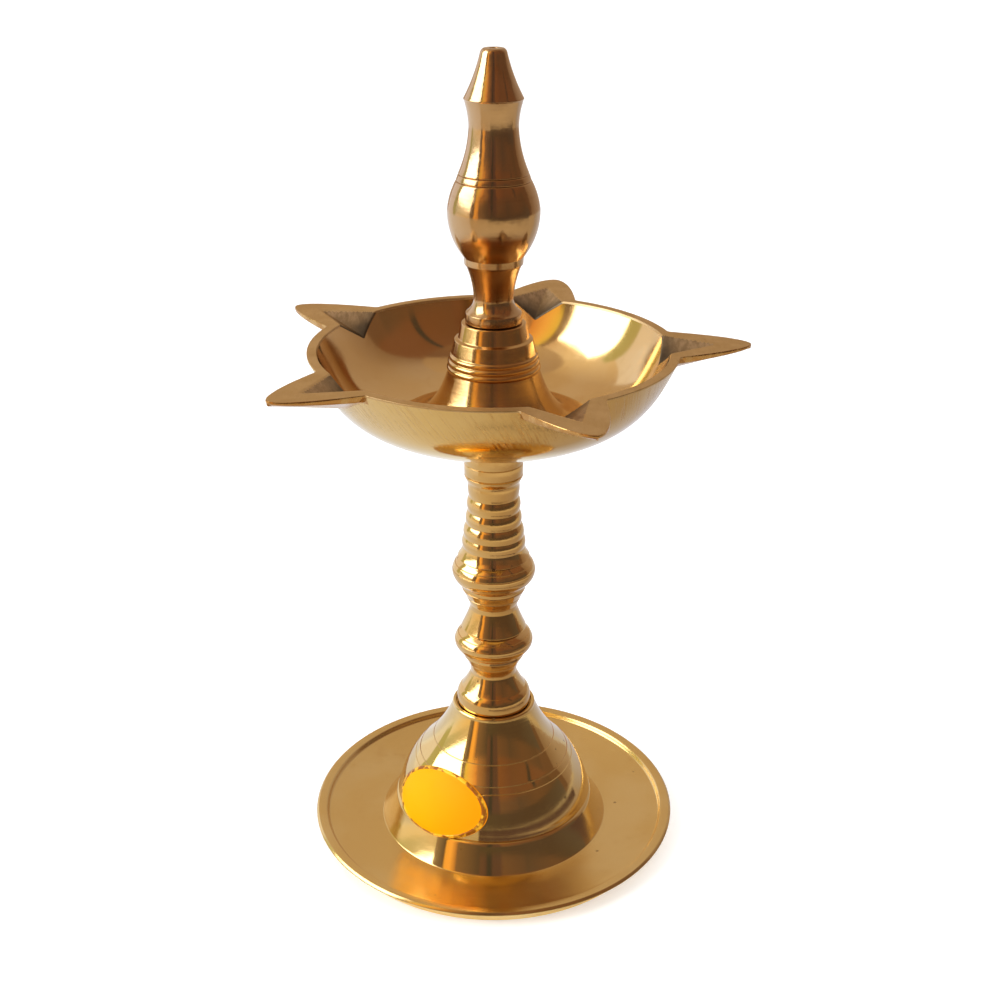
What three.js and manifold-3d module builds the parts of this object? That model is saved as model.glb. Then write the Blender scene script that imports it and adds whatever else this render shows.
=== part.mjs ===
// Brass standing oil lamp with five wick spouts: a footed plate, a turned stem, an oil bowl and a finial.
// Millimetres, +Z up. The origin is on the lamp's axis, in the plane that the foot ring stands on.
import * as THREE from 'three';
import { mergeVertices } from 'three/addons/utils/BufferGeometryUtils.js';
import Module from 'manifold-3d';

const wasm = await Module();
wasm.setup();

// Fits
const seatGap = 0.3;
const threadGap = 0.3;
const holeEndGap = 1;

// Plate and foot ring
const plateRadius = 55;
const plateThickness = 1.6;
const floorMiddleHeight = 2.9;
const floorDish = 2.1;
const lipHeight = 1.5;
const lipWidth = 3.4;
const lipFall = 0.2;
const lipStepSlope = 0.2;
const rimEdgeHeight = 0.3;
const rimRound = 0.6;
const footRingInset = 5;
const footRingWidth = 3.5;
const footRingHeight = 2.3;

// Bell that rises from the plate
const skirtFootRadius = 34.5;
const skirtRise = 7;
const skirtTopRadius = 30.3;
const skirtHollow = 0.02;
const skirtRoundRise = 1.2;
const skirtRoundRadius = 29.1;
const bellStep = 0.3;
const bellFootRadius = 29.6;
const bellLipRise = 0.8;
const bellLipRadius = 29.3;
const bellShoulderRise = 13.5;
const bellShoulderRadius = 22.3;
const bellSwell = 0.065;
const neckRise = 15.5;
const neckHollow = 0.056;
const bellWall = 2.4;
const collarWall = 1.1;
const collarRound = 0.4;
const recessDepth = 1;
const hubWall = 4.7;
const hubLength = 12.2;
const crownThickness = 5;

// Stem
const stemFootRadius = 11;
const stemTopRadius = 8.4;
const stemRibBottomRadius = 8.95;
const stemRibRises = [3.5, 3.9, 4.05, 4.35];
const stemRibRadii = [8.65, 7.85, 7.35, 7.1];
const stemRibSwell = 0.115;

// Oil bowl and its wick spouts
const bowlSeatRadius = 9;
const bowlRimRadius = 50.8;
const bowlDepth = 29.5;
const bowlWall = 2.4;
const bowlFloorPullRadius = 37.3;
const bowlFloorPullHeight = 9.8;
const bowlWallPullRadius = 42.6;
const bowlWallPullHeight = 9.4;
const flareRadius = 27;
const flareFootPullRadius = 18;
const flareTopPullRadius = 14.8;
const flareTopPullHeight = 16.6;
const bossFootRadius = 12.6;
const bossFootHeight = 23;
const bossTopRadius = 8.6;
const spoutCount = 5;
const spoutTurn = 2;
const spoutTipRadius = 70.8;
const spoutTipWidth = 1.6;
const spoutRootWidth = 23;
const spoutRootInset = 1.5;
const spoutOverlap = 8;
const spoutBluntness = 0.6;
const spoutStations = 10;
const spoutKeelDepth = 6.5;
const spoutEdgeThickness = 1.8;
const spoutTipThickness = 1.4;
const channelWidth = 15.4;
const channelDepth = 6.2;
const channelRunIn = 6.8;
const channelEndRadius = 62;
// How far a cutter runs past the face that it cuts
const cutOver = 1;

// Finial
const finialFootRadius = 7.8;
const finialTipRadius = 2.65;
const dimpleRadius = 1.1;
const dimpleDepth = 1.8;

// Threaded studs that join the four castings
const stemStudRadius = 4;
const stemStudLength = 16;
const bowlStudRadius = 4;
const bowlStudLength = 16;
const finialStudRadius = 3;
const finialStudLength = 16;
const studChamfer = 0.6;

// Foil label on the bell
const labelLength = 33.2;
const labelWidth = 19.8;
const labelThickness = 0.3;
const labelGap = 0.3;
const labelAzimuth = -130.7;
const labelTilt = -6;
const labelCutDepth = 20;

// Fineness of the faceted solids
const aroundSteps = 28;
const bowlSteps = 40;
const studSteps = 24;
const chordLength = 3;
const bowlChords = 12;
const fewestChords = 3;
const flareChords = 6;
const ovalSteps = 20;

const brass = new THREE.MeshStandardMaterial({ color: 0xb98c4b, roughness: 0.22, metalness: 1 });
const darkBrass = new THREE.MeshStandardMaterial({ color: 0x8d6a38, roughness: 0.45, metalness: 1 });
const foil = new THREE.MeshStandardMaterial({ color: 0xe8a13c, roughness: 0.3, metalness: 0.6 });

// One step of a turned outline: it climbs by rise to radius, and swells outward by bow times its length.
const step = (rise, radius, bow = 0) => ({ rise, radius, bow });

const total = (steps) => steps.reduce((sum, { rise }) => sum + rise, 0);

// Points of a bowed line from a to b, without a itself.
function bowedLine(a, b, bow) {
  const along = b.clone().sub(a);
  const length = along.length();
  const outward = new THREE.Vector2(along.y, -along.x).normalize();
  const count = bow === 0 ? 1 : Math.max(fewestChords, Math.ceil(length / chordLength));
  const points = [];
  for (let i = 1; i <= count; i += 1) {
    const t = i / count;
    const swell = 4 * bow * length * t * (1 - t);
    points.push(a.clone().addScaledVector(along, t).addScaledVector(outward, swell));
  }
  return points;
}

// Outline of a turned piece from its start, one step after another.
function turnedOutline(start, steps) {
  const points = [start];
  for (const { rise, radius, bow } of steps) {
    const from = points[points.length - 1];
    points.push(...bowedLine(from, new THREE.Vector2(radius, from.y + rise), bow));
  }
  return points;
}

// A copy of an upward outline, moved outward by distance.
function offsetOutline(points, distance) {
  return points.map((point, i) => {
    const before = points[Math.max(i - 1, 0)];
    const after = points[Math.min(i + 1, points.length - 1)];
    const outward = new THREE.Vector2(after.y - before.y, before.x - after.x).normalize();
    return point.clone().addScaledVector(outward, distance);
  });
}

// A full turn of an outline about +Z.
function revolve(points, steps = aroundSteps) {
  const geometry = new THREE.LatheGeometry(points, steps);
  geometry.rotateX(Math.PI / 2);
  return geometry;
}

function solidOf(geometry) {
  const bare = geometry.clone();
  bare.deleteAttribute('normal');
  bare.deleteAttribute('uv');
  const merged = mergeVertices(bare, 1e-4);
  const vertProperties = new Float32Array(merged.attributes.position.array);
  const triVerts = new Uint32Array(merged.index.array);
  return new wasm.Manifold(new wasm.Mesh({ numProp: 3, vertProperties, triVerts }));
}

function geometryOf(solid) {
  const mesh = solid.getMesh();
  const geometry = new THREE.BufferGeometry();
  geometry.setAttribute('position', new THREE.BufferAttribute(mesh.vertProperties, 3));
  geometry.setIndex(new THREE.BufferAttribute(mesh.triVerts, 1));
  geometry.computeVertexNormals();
  return geometry;
}

function mesh(name, geometry, material) {
  const part = new THREE.Mesh(geometry, material);
  part.name = name;
  return part;
}

// A turned piece with a blind hole in each end.
function turnedBar(steps, footRadius, foot, head) {
  const outline = turnedOutline(new THREE.Vector2(footRadius, 0), steps);
  const height = total(steps);
  const points = [
    new THREE.Vector2(0, foot.depth),
    new THREE.Vector2(foot.radius, foot.depth),
    new THREE.Vector2(foot.radius, 0),
    ...outline,
    new THREE.Vector2(head.radius, height),
    new THREE.Vector2(head.radius, height - head.depth),
    new THREE.Vector2(0, height - head.depth),
  ];
  return revolve(points);
}

const holeFor = (studRadius, studLength) => ({
  radius: studRadius + threadGap,
  depth: studLength / 2 + holeEndGap,
});

const stemHole = holeFor(stemStudRadius, stemStudLength);
const bowlHole = holeFor(bowlStudRadius, bowlStudLength);
const finialHole = holeFor(finialStudRadius, finialStudLength);

// Heights of the base, from the table up
const floorEdgeHeight = floorMiddleHeight + floorDish;
const skirtTopHeight = floorMiddleHeight + skirtRise;
const skirtRoundTop = skirtTopHeight + skirtRoundRise;
const bellFoot = new THREE.Vector2(bellFootRadius, skirtRoundTop + bellStep);
const recessRadius = stemFootRadius + seatGap;
const collarRadius = recessRadius + collarWall;

const bellSteps = [
  step(bellLipRise, bellLipRadius),
  step(bellShoulderRise, bellShoulderRadius, bellSwell),
  step(neckRise, collarRadius, -neckHollow),
];
const stemSeatHeight = bellFoot.y + total(bellSteps);

// Bell, skirt and plate in one casting, open below, with a tapped hub for the stem's stud.
function baseCasting() {
  const bell = turnedOutline(bellFoot, bellSteps);
  const collarTop = stemSeatHeight + recessDepth;
  const inside = offsetOutline(bell, -bellWall).filter(({ y }) => y < stemSeatHeight - crownThickness);
  const skirt = bowedLine(
    new THREE.Vector2(skirtFootRadius, floorMiddleHeight),
    new THREE.Vector2(skirtTopRadius, skirtTopHeight),
    -skirtHollow,
  );
  const underMiddle = floorMiddleHeight - plateThickness;
  const floorRadius = plateRadius - lipWidth - lipStepSlope;
  const ringInside = plateRadius - footRingInset - footRingWidth;
  const outAlong = (ringInside - skirtFootRadius) / (floorRadius - skirtFootRadius);
  const underRing = underMiddle + floorDish * outAlong;
  const skirtInside = bowedLine(
    new THREE.Vector2(skirtTopRadius - bellWall, skirtTopHeight),
    new THREE.Vector2(skirtFootRadius - bellWall, underMiddle),
    skirtHollow,
  );
  const hubRadius = stemHole.radius + hubWall;
  const hubBottom = stemSeatHeight - hubLength;
  const ringRadius = plateRadius - footRingInset;
  const lipTop = floorEdgeHeight + lipHeight;
  const points = [
    new THREE.Vector2(ringInside, 0),
    new THREE.Vector2(ringRadius, 0),
    new THREE.Vector2(ringRadius, footRingHeight),
    new THREE.Vector2(plateRadius, lipTop - rimRound - rimEdgeHeight),
    new THREE.Vector2(plateRadius, lipTop - rimRound),
    new THREE.Vector2(plateRadius - rimRound, lipTop),
    new THREE.Vector2(plateRadius - lipWidth, lipTop - lipFall),
    new THREE.Vector2(floorRadius, floorEdgeHeight),
    new THREE.Vector2(skirtFootRadius, floorMiddleHeight),
    ...skirt,
    new THREE.Vector2(skirtRoundRadius, skirtRoundTop),
    ...bell,
    new THREE.Vector2(collarRadius, collarTop - collarRound),
    new THREE.Vector2(collarRadius - collarRound, collarTop),
    new THREE.Vector2(recessRadius, collarTop),
    new THREE.Vector2(recessRadius, stemSeatHeight),
    new THREE.Vector2(stemHole.radius, stemSeatHeight),
    new THREE.Vector2(stemHole.radius, hubBottom),
    new THREE.Vector2(hubRadius, hubBottom),
    new THREE.Vector2(hubRadius, inside[inside.length - 1].y),
    ...inside.slice().reverse(),
    new THREE.Vector2(skirtTopRadius - bellWall, skirtTopHeight),
    ...skirtInside,
    new THREE.Vector2(ringInside, underRing),
    new THREE.Vector2(ringInside, 0),
  ];
  return mesh('base_casting', revolve(points), brass);
}

// Thin oval of foil that follows the bell's curve.
function foilLabel() {
  const bell = turnedOutline(bellFoot, bellSteps);
  const innerFace = offsetOutline(bell, labelGap);
  const outerFace = offsetOutline(bell, labelGap + labelThickness);
  const strip = revolve([...outerFace, ...innerFace.reverse(), outerFace[0]], 2 * aroundSteps);

  const shoulder = new THREE.Vector2(bellShoulderRadius, bellFoot.y + bellLipRise + bellShoulderRise);
  const along = shoulder.sub(bellFoot);
  const centre = bellFoot.clone().addScaledVector(along, 0.5);
  const azimuth = THREE.MathUtils.degToRad(labelAzimuth);
  const lean = Math.atan2(-along.x, along.y);
  const right = new THREE.Vector3(-Math.sin(azimuth), Math.cos(azimuth), 0);
  const normal = new THREE.Vector3(
    Math.cos(lean) * Math.cos(azimuth),
    Math.cos(lean) * Math.sin(azimuth),
    Math.sin(lean),
  );
  const up = normal.clone().cross(right);
  const oval = new THREE.Shape();
  oval.absellipse(0, 0, labelLength / 2, labelWidth / 2, 0, 2 * Math.PI);
  const prism = new THREE.ExtrudeGeometry(oval, {
    depth: labelCutDepth,
    bevelEnabled: false,
    curveSegments: ovalSteps,
  });
  prism.translate(0, 0, -labelCutDepth / 2);
  prism.rotateZ(-THREE.MathUtils.degToRad(labelTilt));
  prism.applyMatrix4(new THREE.Matrix4().makeBasis(right, up, normal));
  prism.translate(centre.x * Math.cos(azimuth), centre.x * Math.sin(azimuth), centre.y);
  return mesh('foil_label', geometryOf(solidOf(strip).intersect(solidOf(prism))), foil);
}

// A plain chamfered bar in place of each threaded stud.
function stud(name, radius, length) {
  const points = [
    new THREE.Vector2(0, 0),
    new THREE.Vector2(radius - studChamfer, 0),
    new THREE.Vector2(radius, studChamfer),
    new THREE.Vector2(radius, length - studChamfer),
    new THREE.Vector2(radius - studChamfer, length),
    new THREE.Vector2(0, length),
  ];
  return mesh(name, revolve(points, studSteps), darkBrass);
}

const stemRibs = stemRibRises.map((rise, i) => step(rise, stemRibRadii[i], stemRibSwell));

const stemSteps = [
  // Foot, cove and swelling neck
  step(3.05, stemFootRadius),
  step(2.9, 9.5, 0.11),
  step(5.0, 6.8, -0.025),
  step(3.0, 7.35, -0.035),
  step(0.6, 7.75),
  step(2.3, 9.0, -0.03),
  // Lower bead and cove
  step(0.95, 8.95),
  step(7.8, 8.8, 0.35),
  step(0.5, 9.6),
  step(6.4, 6.95, -0.015),
  step(1.35, 6.95),
  step(5.1, 9.25),
  step(1.45, 9.35, -0.08),
  // Upper bead
  step(8.6, 9.75, 0.3),
  step(0.3, 10.45),
  step(3.1, stemRibBottomRadius, -0.05),
  ...stemRibs,
  // Necking and the band under the bowl
  step(3.95, 7.4, 0.045),
  step(0.8, 7.6),
  step(1.8, stemTopRadius, 0.03),
  step(0.25, stemTopRadius - 0.45),
  step(0.25, stemTopRadius),
  step(7.5, stemTopRadius),
];
const stemHeight = total(stemSteps);

function stem() {
  return mesh('stem', turnedBar(stemSteps, stemFootRadius, stemHole, bowlHole), brass);
}

// Boss in the middle of the bowl: three beads, a band and a coned top.
const bossSteps = [
  step(1.65, 12.35, 0.28),
  step(1.65, 12.0, 0.28),
  step(1.6, 11.6, 0.28),
  step(3.9, 10.75),
  step(0.4, 9.7),
  step(4.0, 8.8),
  step(0.2, bossTopRadius),
];
const bossHeight = bossFootHeight + total(bossSteps);

// Outside of the bowl, from its seat to its rim: nearly a cone below, curving up into a steep side.
const bowlOutside = new THREE.CubicBezierCurve(
  new THREE.Vector2(bowlSeatRadius, 0),
  new THREE.Vector2(bowlFloorPullRadius, bowlFloorPullHeight),
  new THREE.Vector2(bowlWallPullRadius, bowlWallPullHeight),
  new THREE.Vector2(bowlRimRadius, bowlDepth),
).getSpacedPoints(bowlChords);

// One wick spout, pointing along +X: flat on top, keeled below, its sides curving in to a blunt tip.
function spout() {
  const rootRadius = bowlRimRadius - spoutOverlap;
  const shoulderRadius = bowlRimRadius - spoutRootInset;
  const sections = [];
  for (let i = 0; i < spoutStations; i += 1) {
    // Stations lie closer together towards the tip, where the sides curve most
    const left = (1 - i / (spoutStations - 1)) ** 2;
    const x = THREE.MathUtils.lerp(spoutTipRadius, rootRadius, left);
    const share = Math.min(1, (spoutTipRadius - x) / (spoutTipRadius - shoulderRadius));
    const halfWidth = THREE.MathUtils.lerp(spoutTipWidth, spoutRootWidth, share ** spoutBluntness) / 2;
    const reach = (x - bowlRimRadius) / (spoutTipRadius - bowlRimRadius);
    const keel = THREE.MathUtils.lerp(spoutKeelDepth, spoutTipThickness, reach);
    const edge = THREE.MathUtils.lerp(spoutEdgeThickness, spoutTipThickness / 2, Math.max(0, reach));
    sections.push([
      [x, -halfWidth, bowlDepth],
      [x, -halfWidth, bowlDepth - edge],
      [x, 0, bowlDepth - keel],
      [x, halfWidth, bowlDepth - edge],
      [x, halfWidth, bowlDepth],
    ]);
  }
  const corners = sections[0].length;
  const index = [];
  for (let i = 0; i < sections.length - 1; i += 1) {
    for (let j = 0; j < corners; j += 1) {
      const a = i * corners + j;
      const b = i * corners + ((j + 1) % corners);
      index.push(a, b, a + corners, b, b + corners, a + corners);
    }
  }
  const last = (sections.length - 1) * corners;
  for (let j = 1; j < corners - 1; j += 1) {
    index.push(0, j + 1, j);
    index.push(last, last + j, last + j + 1);
  }
  const geometry = new THREE.BufferGeometry();
  geometry.setAttribute('position', new THREE.Float32BufferAttribute(sections.flat(2), 3));
  geometry.setIndex(index);
  return solidOf(geometry);
}

// Wedge that cuts a spout's V channel, from inside the bowl up to nothing near the tip.
function channel() {
  const startRadius = bowlRimRadius - channelRunIn;
  const fall = channelDepth / (channelEndRadius - startRadius);
  const spread = channelWidth / 2 / (fall * (channelEndRadius - bowlRimRadius + bowlWall));
  const halfWidth = (channelDepth + cutOver) * spread;
  const top = bowlDepth + cutOver;
  const positions = [
    startRadius, -halfWidth, top,
    startRadius, halfWidth, top,
    startRadius, 0, bowlDepth - channelDepth,
    channelEndRadius + cutOver / fall, 0, top,
  ];
  const geometry = new THREE.BufferGeometry();
  geometry.setAttribute('position', new THREE.Float32BufferAttribute(positions, 3));
  geometry.setIndex([0, 1, 2, 0, 3, 1, 1, 3, 2, 2, 3, 0]);
  return solidOf(geometry);
}

// Bowl with a solid middle that rises to the finial's boss, and five spouts round its rim.
function oilBowl() {
  const inside = offsetOutline(bowlOutside, -bowlWall).filter(({ x }) => x > flareRadius).reverse();
  const flareFoot = inside[inside.length - 1];
  const flare = new THREE.CubicBezierCurve(
    flareFoot,
    new THREE.Vector2(flareFootPullRadius, flareFoot.y),
    new THREE.Vector2(flareTopPullRadius, flareTopPullHeight),
    new THREE.Vector2(bossFootRadius, bossFootHeight),
  );
  const boss = turnedOutline(new THREE.Vector2(bossFootRadius, bossFootHeight), bossSteps);
  const dish = [...inside, ...flare.getPoints(flareChords).slice(1, -1), ...boss];
  const overTop = bossHeight + cutOver;
  const plugRadius = dish[0].x - cutOver;
  const blank = revolve([
    new THREE.Vector2(0, bowlHole.depth),
    new THREE.Vector2(bowlHole.radius, bowlHole.depth),
    new THREE.Vector2(bowlHole.radius, 0),
    ...bowlOutside,
    new THREE.Vector2(plugRadius, bowlDepth),
    new THREE.Vector2(plugRadius, bossHeight),
    new THREE.Vector2(finialHole.radius, bossHeight),
    new THREE.Vector2(finialHole.radius, bossHeight - finialHole.depth),
    new THREE.Vector2(0, bossHeight - finialHole.depth),
  ], bowlSteps);
  const hollow = revolve([
    dish[0],
    new THREE.Vector2(dish[0].x, overTop),
    new THREE.Vector2(bossTopRadius, overTop),
    ...dish.slice().reverse(),
  ], bowlSteps);

  let spouts = null;
  let channels = null;
  for (let i = 0; i < spoutCount; i += 1) {
    const turn = spoutTurn + (360 * i) / spoutCount;
    const beak = spout().rotate([0, 0, turn]);
    const groove = channel().rotate([0, 0, turn]);
    spouts = spouts ? spouts.add(beak) : beak;
    channels = channels ? channels.add(groove) : groove;
  }
  const bowl = solidOf(blank).add(spouts).subtract(solidOf(hollow)).subtract(channels);
  return mesh('oil_bowl', geometryOf(bowl), brass);
}

const finialSteps = [
  // Foot, neck and cup
  step(2.5, 7.6),
  step(0.15, 7.4),
  step(3.75, 5.4, -0.12),
  step(9.2, 7.5, -0.045),
  step(0.35, 7.95),
  step(1.7, 8.05),
  step(0.3, 8.1),
  // Pear-shaped body
  step(12.7, 12.35, 0.087),
  step(7.35, 10.05, 0.045),
  step(0.25, 9.85),
  step(1.5, 9.4),
  step(0.25, 9.3),
  // Tapered neck, brim and pointed cap
  step(11.75, 6.5, -0.045),
  step(6.0, 7.4, -0.033),
  step(0.95, 7.65),
  step(0.3, 7.85),
  step(11.5, 3.45, -0.033),
  step(0.95, finialTipRadius, 0.1),
];

function finial() {
  const dimple = { radius: dimpleRadius, depth: dimpleDepth };
  return mesh('finial', turnedBar(finialSteps, finialFootRadius, finialHole, dimple), brass);
}

// The castings stand on each other, and each joint has a stud half in the piece below and half in the one above.
const stemZ = stemSeatHeight + seatGap;
const bowlZ = stemZ + stemHeight + seatGap;
const finialZ = bowlZ + bossHeight + seatGap;

const group = new THREE.Group();

function place(part, height) {
  part.position.z = height;
  group.add(part);
}

place(baseCasting(), 0);
place(foilLabel(), 0);
place(stud('stem_stud', stemStudRadius, stemStudLength), stemZ - stemStudLength / 2);
place(stem(), stemZ);
place(stud('bowl_stud', bowlStudRadius, bowlStudLength), bowlZ - bowlStudLength / 2);
place(oilBowl(), bowlZ);
place(stud('finial_stud', finialStudRadius, finialStudLength), finialZ - finialStudLength / 2);
place(finial(), finialZ);

export default group;
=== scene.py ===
"""Looks of a brass standing oil lamp with five wick spouts: turned castings, threaded studs and a foil label.

Outlines are in millimetres from each casting's seat, as (radius, height); meshes are in metres, +Z up.
"""
import math

import bpy
import numpy as np
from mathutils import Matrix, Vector

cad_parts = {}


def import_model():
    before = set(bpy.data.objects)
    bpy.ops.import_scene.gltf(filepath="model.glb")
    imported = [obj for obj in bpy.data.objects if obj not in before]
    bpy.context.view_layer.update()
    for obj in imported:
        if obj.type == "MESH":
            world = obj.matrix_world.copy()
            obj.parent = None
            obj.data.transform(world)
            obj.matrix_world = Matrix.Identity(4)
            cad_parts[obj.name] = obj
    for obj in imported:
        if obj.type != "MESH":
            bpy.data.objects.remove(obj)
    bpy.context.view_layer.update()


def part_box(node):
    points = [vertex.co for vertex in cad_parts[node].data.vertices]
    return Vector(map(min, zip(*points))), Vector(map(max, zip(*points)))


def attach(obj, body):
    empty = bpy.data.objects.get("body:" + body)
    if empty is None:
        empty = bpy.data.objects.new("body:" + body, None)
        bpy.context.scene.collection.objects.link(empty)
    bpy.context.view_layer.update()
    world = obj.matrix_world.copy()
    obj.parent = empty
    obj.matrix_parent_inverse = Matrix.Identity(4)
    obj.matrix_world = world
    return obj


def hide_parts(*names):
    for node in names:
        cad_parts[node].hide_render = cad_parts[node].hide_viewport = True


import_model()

MM = 0.001
CHORD = 0.45
EDGE_ROUND = 0.16
SHARP_ANGLE = math.radians(38)
AROUND = 192
BASE_AROUND = 256
KEPT_TURN = math.radians(14)

# Base casting
PLATE_RADIUS = 55.0
FOOT_RING_HEIGHT = 2.3
FOOT_RING_INSET = 5.0
FOOT_RING_WIDTH = 3.5
PLATE_THICK = 1.6
LIP_TOP = 6.5
LIP_EDGE = 0.9
LIP_CHAMFER = 0.6
LIP_STEP = ((52.3, 6.35), (51.4, 6.3), (51.6, 5.0), (50.7, 4.92))
FLOOR_EDGE = (51.4, 5.0)
SKIRT_FOOT = (34.5, 2.9)
SKIRT_TOP = (30.3, 9.9)
SKIRT_ROUND = (29.1, 11.1)
SKIRT_ROUND_SWELL = 0.12
SKIRT_HOLLOW = 0.02
BELL_FOOT = (29.6, 11.4)
BELL_LIP = (29.3, 12.2)
BELL_SHOULDER = (22.3, 25.7)
BELL_SWELL = 0.065
NECK_HOLLOW = 0.056
COLLAR_RADIUS = 12.4
COLLAR_STEP = 1.0
COLLAR_CHAMFER = 0.4
RECESS_RADIUS = 11.3
STEM_SEAT = 41.2
BELL_WALL = 2.4
CROWN = 5.0
HUB_DEPTH = 12.2
HUB_WALL = 4.7
BELL_GROOVES = (23.8, 25.4, 30.2)
BELL_GROOVE_DEPTH = 0.13
BELL_GROOVE_WIDTH = 0.22

# Stem
STEM_GROOVES = (14.4, 18.9, 22.6, 24.2, 36.5, 39.0, 42.6, 45.6, 47.4, 78.5)
STEM_GROOVE_DEPTH = 0.15
STEM_GROOVE_WIDTH = 0.14

# Finial
FINIAL_DIMPLE = (1.1, 1.8)

# Bowl and spouts
BOWL_DEPTH = 29.5
RIM_RADIUS = 50.8
BOWL_SEAT_RADIUS = 9.0
BOWL_CURVE = ((BOWL_SEAT_RADIUS, 0.0), (37.3, 9.8), (42.6, 9.4), (RIM_RADIUS, BOWL_DEPTH))
BOWL_WALL = 2.4
FLARE_RADIUS = 27.0
FLARE_FOOT_PULL = 18.0
FLARE_TOP_PULL = (14.8, 16.6)
BOSS_METAL_RADIUS = 19.0
BOSS_FOOT = (12.6, 23.0)
SPOUTS = 5
SPOUT_TURN = 2.0
SPOUT_TIP = 70.8
SPOUT_ROOT_WIDTH = 23.0
SPOUT_ROOT_INSET = 1.5
SPOUT_BLUNTNESS = 0.56
KEEL_DEPTH = 6.5
SPOUT_EDGE = 1.8
SPOUT_TIP_THICK = 1.4
CHANNEL_DEPTH = 6.2
CHANNEL_START = 44.0
CHANNEL_END = 62.0
CHANNEL_SLOPE = 0.608
CHANNEL_ROUND = 0.25
CHANNEL_TRACE = 0.15
CHANNEL_HALF_ANGLE = math.radians(20)
NOTCH_ROUND = 0.35
SPOUT_FADE = 1.6
JOIN_MARGIN = 1.2
RIM_EDGE = 0.55
RIM_ROUND = 0.4
LIP_ROUND = 0.5
BOWL_SLOTS = {"outside": 0, "rim": 1, "channel": 2, "spout": 3, "dish": 4, "boss": 5}

# Studs
M8 = {"radius": 4.0, "length": 16.0, "pitch": 1.25}
M6 = {"radius": 3.0, "length": 16.0, "pitch": 1.0}
THREAD_CLEARANCE = 0.3
HOLE_DEPTH = 9.0
THREAD_DEPTH = 0.6134
STUD_CHAMFER = 0.85

# Label
LABEL_HALF_LENGTH = 16.6
LABEL_HALF_WIDTH = 9.9
LABEL_AZIMUTH = math.radians(-130.7)
LABEL_TILT = math.radians(-6)
LABEL_LIFT = 0.3
LABEL_THICK = 0.3
BORDER_START = 0.91
BORDER_WIDTH = 0.065
BORDER_RISE = 0.35

# Stage, in metres
ROOM_RADIUS = 1.2
EYE_HEIGHT = 0.1
CEILING = 2.3
TABLE = (0.0545, 0.3)
FLOOR_CARD_HEIGHT = 0.0005
FLOOR_LIFT = 0.3

# Elevations of the walls' cards, in degrees
WALL_FOOT = -4.7
BACK_FOOT = -8
WALL_SPLIT = 30
WALL_TOP = 62


# Outlines

def bowed(a, b, bow=0.0):
    """Points from a to b, without a, swelling outward by bow times the length."""
    a, b = np.array(a, float), np.array(b, float)
    along = b - a
    length = np.hypot(*along)
    outward = np.array([along[1], -along[0]]) / length
    count = max(1, math.ceil(length / CHORD)) if bow else 1
    t = np.arange(1, count + 1)[:, None] / count
    return list(a + t * along + 4 * bow * length * t * (1 - t) * outward)


def turned(start, steps):
    """Outline of a turned piece: each step climbs by rise to radius, swelling by bow."""
    points = [np.array(start, float)]
    for rise, radius, *bow in steps:
        points += bowed(points[-1], (radius, points[-1][1] + rise), *bow)
    return points


def rounded(points, radius=EDGE_ROUND):
    """The outline with its corners rounded, so that edges catch the light."""
    points = [np.array(p, float) for p in points]
    out = [points[0]]
    for before, corner, after in zip(points, points[1:], points[2:]):
        d1, d2 = before - corner, after - corner
        l1, l2 = np.hypot(*d1), np.hypot(*d2)
        turn = math.pi - math.acos(float(np.clip(np.dot(d1, d2) / (l1 * l2), -1, 1)))
        if turn < KEPT_TURN:
            out.append(corner)
            continue
        reach = min(radius, 0.42 * l1, 0.42 * l2)
        p, q = corner + d1 / l1 * reach, corner + d2 / l2 * reach
        for t in (0, 0.33, 0.67, 1):
            out.append((1 - t) ** 2 * p + 2 * t * (1 - t) * corner + t * t * q)
    out.append(points[-1])
    return out


def grooved(points, heights, depth, width):
    """The outline with fine turned grooves cut at the given heights."""
    out = []
    for a, b in zip(points, points[1:]):
        out.append(a)
        for h in heights:
            if a[1] < h <= b[1]:
                along = (b - a) / np.hypot(*(b - a))
                outward = np.array([along[1], -along[0]])
                centre = a + along * (h - a[1]) / along[1]
                for shift, deep in ((-1, 0), (-0.5, 0.8), (0, 1), (0.5, 0.8), (1, 0)):
                    out.append(centre + along * shift * width - outward * deep * depth)
    out.append(points[-1])
    return out


def offset(points, distance):
    """A copy of an upward outline, moved outward."""
    out = []
    for i, p in enumerate(points):
        before, after = points[max(i - 1, 0)], points[min(i + 1, len(points) - 1)]
        along = (after - before) / np.hypot(*(after - before))
        out.append(p + distance * np.array([along[1], -along[0]]))
    return out


# Meshes

def finish_mesh(name, verts, faces, body, replaces, materials, face_slots=None):
    """Makes the object, shades it, and hangs it on its body."""
    mesh = bpy.data.meshes.new(name)
    mesh.from_pydata([tuple(v) for v in verts], [], faces)
    mesh.validate()
    mesh.polygons.foreach_set("use_smooth", [True] * len(mesh.polygons))
    for material in materials:
        mesh.materials.append(material)
    if face_slots is not None:
        mesh.polygons.foreach_set("material_index", np.array(face_slots, np.int32))
    mesh.set_sharp_from_angle(angle=SHARP_ANGLE)
    mesh.update()
    piece = bpy.data.objects.new(name, mesh)
    bpy.context.scene.collection.objects.link(piece)
    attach(piece, body)
    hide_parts(replaces)
    return piece


def grid_faces(rows, columns):
    """Quads of a grid whose columns close on themselves; vertex index is row * columns + column."""
    faces = []
    for i in range(rows - 1):
        low, high = i * columns, (i + 1) * columns
        for j in range(columns):
            k = (j + 1) % columns
            faces.append((low + j, low + k, high + k, high + j))
    return faces


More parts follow.
